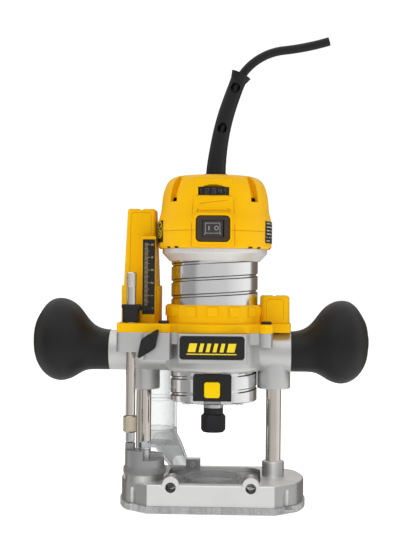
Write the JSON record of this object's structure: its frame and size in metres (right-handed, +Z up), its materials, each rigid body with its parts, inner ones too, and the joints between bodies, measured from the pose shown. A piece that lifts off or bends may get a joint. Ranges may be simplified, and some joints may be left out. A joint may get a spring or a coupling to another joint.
{
  "type": "trim router",
  "caption": "Compact plunge router: lift-out motor in a sprung carriage on two columns, side handles, clear sub-base, turret depth stop, dust duct and trailing cord.",
  "frame": {"origin": "spindle axis at the underside of the clear sub-base", "axes": "+Z up along the spindle, -Y towards the operator and the switch, +X to the operator's right"},
  "size_m": [0.2671, 0.1192, 0.3742],
  "materials": {
    "cast_alu": "satin die-cast",
    "barrel_alu": "polished",
    "yellow": "moulded gloss",
    "black_rubber": "fine matt",
    "black_plastic": "moulded",
    "bronze_boot": "translucent dark boot",
    "chrome": "hard chrome",
    "steel": "bright",
    "dark_steel": "black oxide",
    "nickel": "nickel-plated brass",
    "clear": "clear polycarbonate",
    "lens": "frosted lens",
    "copper": "enamelled copper",
    "lamination": "laminated iron",
    "board": "circuit board",
    "bronze": "sintered bronze",
    "grey_ring": "grey"
  },
  "bodies": {
    "base": {"base_casting": "cast_alu", "sub_base": "clear", "base_screws": "steel", "guide_columns": "chrome", "left_plunge_spring": "steel", "right_plunge_spring": "steel", "dust_shroud": "clear", "dust_tube": "clear", "turret_pivot_screw": "steel", "turret_detent": "steel", "turret_sleeve": "steel"},
    "turret": {"turret": "cast_alu", "turret_stop_screw": "cast_alu"},
    "carriage": {"carriage_casting": "cast_alu", "badge_plate": "black_plastic", "column_bushes": "bronze", "top_cover": "yellow", "cover_screws": "dark_steel", "depth_scale": "black_plastic", "left_handle": "black_rubber", "right_handle": "black_rubber", "handle_bolts": "steel", "clamp_bolt": "steel", "plunge_lock_screw": "steel"},
    "clamp_lever": {"motor_clamp_lever": "black_plastic"},
    "plunge_lock": {"plunge_lock_lever": "black_plastic"},
    "rod_lock": {"rod_lock_knob": "black_plastic"},
    "rod": {"depth_rod": "chrome"},
    "pointer": {"depth_pointer": "black_plastic"},
    "fine_adjust": {"fine_adjust_knob": "nickel"},
    "tip": {"rod_tip": "steel"},
    "motor": {"motor_barrel": "barrel_alu", "motor_flange": "grey_ring", "bottom_cover": "black_plastic", "led_lens": "lens", "lock_bezel": "black_plastic", "lock_spring": "steel", "head_cap": "yellow", "head_collar": "yellow", "head_screws": "dark_steel", "side_labels": "black_plastic", "switch_frame": "bronze_boot", "switch_module": "black_plastic", "control_board": "board", "cord_guard": "black_rubber", "power_cord": "black_rubber", "cord_clamp": "black_plastic", "stator_core": "lamination", "field_coils": "copper", "brush_gear": "nickel", "bearing_bracket": "cast_alu", "spindle_bearings": "steel"},
    "rotor": {"spindle": "steel", "armature": "copper", "fan": "black_plastic", "collet": "steel"},
    "nut": {"collet_nut": "dark_steel"},
    "rocker": {"switch_rocker": "black_plastic"},
    "dial": {"speed_dial": "black_plastic"},
    "lock_pin": {"lock_button": "yellow"}
  },
  "joints": [
    {"name": "plunge", "type": "slide", "parent": "base", "child": "carriage", "axis": [0, 0, -1], "range_m": [0, 0.055], "stiffness_N_per_m": 900, "springref_m": -0.044, "deforming": ["left_plunge_spring", "right_plunge_spring"]},
    {"name": "motor_lift", "type": "slide", "parent": "carriage", "child": "motor", "axis": [0, 0, 1], "range_m": [0, 0.09]},
    {"name": "spindle_spin", "type": "hinge", "parent": "motor", "child": "rotor", "pos_m": [0, 0, 0.15], "axis": [0, 0, 1], "continuous": true},
    {"name": "collet_nut_turn", "type": "hinge", "parent": "rotor", "child": "nut", "pos_m": [0, 0, 0.064], "axis": [0, 0, 1], "continuous": true},
    {"name": "spindle_lock_press", "type": "slide", "parent": "motor", "child": "lock_pin", "axis": [0, 1, 0], "range_m": [0, 0.003], "stiffness_N_per_m": 900, "springref_m": -0.004, "deforming": ["lock_spring"]},
    {"name": "switch_rock", "type": "hinge", "parent": "motor", "child": "rocker", "pos_m": [0, -0.0444, 0.2169], "axis": [0, 0, 1], "range_deg": [0, 16]},
    {"name": "speed_dial_turn", "type": "hinge", "parent": "motor", "child": "dial", "pos_m": [0, -0.0217, 0.246], "axis": [0, 0, 1], "range_deg": [-120, 120]},
    {"name": "clamp_lever_swing", "type": "hinge", "parent": "carriage", "child": "clamp_lever", "pos_m": [0.0158, 0.047, 0.122], "axis": [0, 0, 1], "range_deg": [0, 80]},
    {"name": "plunge_lock_swing", "type": "hinge", "parent": "carriage", "child": "plunge_lock", "pos_m": [-0.0565, 0.03, 0.115], "axis": [0, 1, 0], "range_deg": [-25, 25]},
    {"name": "rod_lock_turn", "type": "hinge", "parent": "carriage", "child": "rod_lock", "pos_m": [-0.0487, -0.04, 0.1289], "axis": [0, 1, 0], "range_deg": [-90, 90]},
    {"name": "depth_rod_slide", "type": "slide", "parent": "carriage", "child": "rod", "axis": [0, 0, 1], "range_m": [0, 0.055]},
    {"name": "pointer_slide", "type": "slide", "parent": "rod", "child": "pointer", "axis": [0, 0, 1], "range_m": [0, 0.012]},
    {"name": "fine_adjust_turn", "type": "hinge", "parent": "rod", "child": "fine_adjust", "pos_m": [-0.064, -0.023, 0.065], "axis": [0, 0, 1], "range_deg": [0, 720]},
    {"name": "rod_tip_travel", "type": "slide", "parent": "rod", "child": "tip", "axis": [0, 0, 1], "range_m": [0, 0.003]},
    {"name": "turret_turn", "type": "hinge", "parent": "base", "child": "turret", "pos_m": [-0.0525, -0.022, 0.03], "axis": [0, 0, 1], "continuous": true}
  ],
  "couplings": [
    {"joint": "depth_rod_slide", "follows": "plunge", "ratio": 1},
    {"joint": "fine_adjust_turn", "follows": "rod_tip_travel", "rad_per_m": 4188.8}
  ]
}
